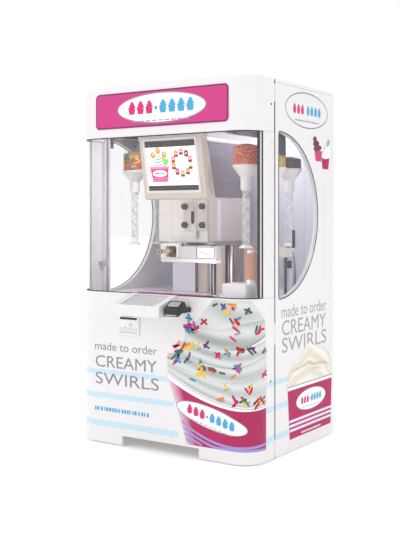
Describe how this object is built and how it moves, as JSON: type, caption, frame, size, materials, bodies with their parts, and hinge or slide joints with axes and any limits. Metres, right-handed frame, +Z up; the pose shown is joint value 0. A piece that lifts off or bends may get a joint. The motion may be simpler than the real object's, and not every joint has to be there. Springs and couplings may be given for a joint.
{
  "type": "soft serve machine",
  "caption": "Free-standing robot soft serve kiosk: wrap-around glazed door, freezer, topping dispensers, cup lift and vend console.",
  "frame": {"origin": "middle of the footprint of the bounding box, on the floor under the runners", "axes": "+Z up, the door faces -Y, +X is to the right of a customer who faces the door"},
  "size_m": [1.1711, 1.1, 2],
  "materials": {
    "paint": "semi-gloss powder coat, warm white",
    "liner": "satin light grey chamber lining",
    "steel": "brushed stainless",
    "dark_steel": "satin dark grey enamel",
    "black": "fine-textured black moulding",
    "glass": "clear polished glazing",
    "clear": "clear food-grade plastic",
    "white": "white food-grade plastic",
    "beige": "warm light grey moulding",
    "pink": "glossy magenta acrylic",
    "grey": "light grey moulding",
    "brass": "satin brass",
    "kraft": "kraft-coloured card"
  },
  "bodies": {
    "cabinet": {"runner_left": "dark_steel", "runner_right": "dark_steel", "base_deck": "dark_steel", "chamber_deck": "liner", "roof_panel": "paint", "back_panel": "paint", "side_panel_left": "paint", "side_panel_right": "paint", "side_window_left": "glass", "side_window_right": "glass", "door_hinge_top": "steel", "door_hinge_middle": "steel", "door_hinge_bottom": "steel", "freezer_cabinet": "steel", "freezing_barrel": "steel", "drive_motor": "dark_steel", "freezer_pedestal": "steel", "draw_head": "white", "compressor": "black", "fan_shroud": "dark_steel", "topping_rack_left": "grey", "topping_rack_right": "grey", "topping_jar_1": "clear", "topping_jar_2": "clear", "topping_jar_3": "clear", "topping_jar_4": "clear", "topping_jar_5": "clear", "lift_mast": "black", "cup_magazine": "kraft", "cup_dispenser": "beige"},
    "door": {"door_header": "paint", "door_lower_panel": "paint", "door_post_left": "paint", "door_post_right": "paint", "door_window": "glass", "sign_panel": "pink", "display_housing": "beige", "payment_enclosure": "white", "vend_console": "paint", "note_acceptor": "paint", "card_reader": "black"},
    "vend_flap": {"vend_flap": "clear"},
    "coin_flap": {"coin_flap": "steel"},
    "service_key_lock": {"service_key_lock": "steel"},
    "door_lock": {"door_lock": "steel"},
    "service_door": {"service_door": "paint"},
    "beater": {"beater": "steel"},
    "condenser_fan": {"condenser_fan": "black"},
    "topping_auger_1": {"topping_auger_1": "white"},
    "topping_auger_2": {"topping_auger_2": "white"},
    "topping_auger_3": {"topping_auger_3": "white"},
    "topping_auger_4": {"topping_auger_4": "white"},
    "topping_auger_5": {"topping_auger_5": "white"},
    "hand_screw_1": {"hand_screw_1": "black"},
    "hand_screw_2": {"hand_screw_2": "black"},
    "hand_screw_3": {"hand_screw_3": "black"},
    "hand_screw_4": {"hand_screw_4": "black"},
    "draw_plunger": {"draw_plunger": "black"},
    "lift_carriage": {"lift_carriage": "grey"},
    "transfer_rod": {"transfer_rod": "brass"}
  },
  "joints": [
    {"name": "door_swing", "type": "hinge", "parent": "cabinet", "child": "door", "pos_m": [0.581, -0.16, 1], "axis": [0, 0, 1], "range_deg": [0, 100]},
    {"name": "vend_flap_lift", "type": "hinge", "parent": "door", "child": "vend_flap", "pos_m": [-0.0355, -0.412, 0.84558], "axis": [-1, 0, 0], "range_deg": [0, 85]},
    {"name": "coin_flap_swing", "type": "hinge", "parent": "door", "child": "coin_flap", "pos_m": [-0.205, -0.3925, 0.6575], "axis": [1, 0, 0], "range_deg": [0, 60]},
    {"name": "service_key_turn", "type": "hinge", "parent": "door", "child": "service_key_lock", "pos_m": [-0.187, -0.39, 0.68], "axis": [0, 1, 0], "range_deg": [0, 90]},
    {"name": "door_lock_turn", "type": "hinge", "parent": "door", "child": "door_lock", "pos_m": [-0.575, -0.198, 1], "axis": [1, 0, 0], "range_deg": [0, 90]},
    {"name": "service_door_swing", "type": "hinge", "parent": "cabinet", "child": "service_door", "pos_m": [-0.557, 0.55, 0.45], "axis": [0, 0, 1], "range_deg": [0, 100]},
    {"name": "beater_spin", "type": "hinge", "parent": "cabinet", "child": "beater", "pos_m": [0.018, 0.1, 1.281], "axis": [0, 1, 0], "continuous": true},
    {"name": "fan_spin", "type": "hinge", "parent": "cabinet", "child": "condenser_fan", "pos_m": [0, 0.448, 0.33], "axis": [0, 1, 0], "continuous": true},
    {"name": "topping_auger_1_spin", "type": "hinge", "parent": "cabinet", "child": "topping_auger_1", "pos_m": [0.43, -0.195, 1.3], "axis": [0, 0, 1], "continuous": true},
    {"name": "topping_auger_2_spin", "type": "hinge", "parent": "cabinet", "child": "topping_auger_2", "pos_m": [0.43, 0.101, 1.3], "axis": [0, 0, 1], "continuous": true},
    {"name": "topping_auger_3_spin", "type": "hinge", "parent": "cabinet", "child": "topping_auger_3", "pos_m": [0.43, 0.289, 1.3], "axis": [0, 0, 1], "continuous": true},
    {"name": "topping_auger_4_spin", "type": "hinge", "parent": "cabinet", "child": "topping_auger_4", "pos_m": [-0.43, -0.045, 1.3], "axis": [0, 0, 1], "continuous": true},
    {"name": "topping_auger_5_spin", "type": "hinge", "parent": "cabinet", "child": "topping_auger_5", "pos_m": [-0.43, 0.197, 1.3], "axis": [0, 0, 1], "continuous": true},
    {"name": "hand_screw_1_turn", "type": "hinge", "parent": "cabinet", "child": "hand_screw_1", "pos_m": [-0.042, -0.09, 1.228], "axis": [0, 1, 0], "continuous": true},
    {"name": "hand_screw_2_turn", "type": "hinge", "parent": "cabinet", "child": "hand_screw_2", "pos_m": [0.078, -0.09, 1.228], "axis": [0, 1, 0], "continuous": true},
    {"name": "hand_screw_3_turn", "type": "hinge", "parent": "cabinet", "child": "hand_screw_3", "pos_m": [-0.042, -0.09, 1.333], "axis": [0, 1, 0], "continuous": true},
    {"name": "hand_screw_4_turn", "type": "hinge", "parent": "cabinet", "child": "hand_screw_4", "pos_m": [0.078, -0.09, 1.333], "axis": [0, 1, 0], "continuous": true},
    {"name": "draw_plunger_lift", "type": "slide", "parent": "cabinet", "child": "draw_plunger", "axis": [0, 0, 1], "range_m": [0, 0.035]},
    {"name": "lift_travel", "type": "slide", "parent": "cabinet", "child": "lift_carriage", "axis": [0, 0, 1], "range_m": [-0.12, 0.02]},
    {"name": "transfer_travel", "type": "slide", "parent": "lift_carriage", "child": "transfer_rod", "axis": [0, -1, 0], "range_m": [0, 0.075]}
  ]
}
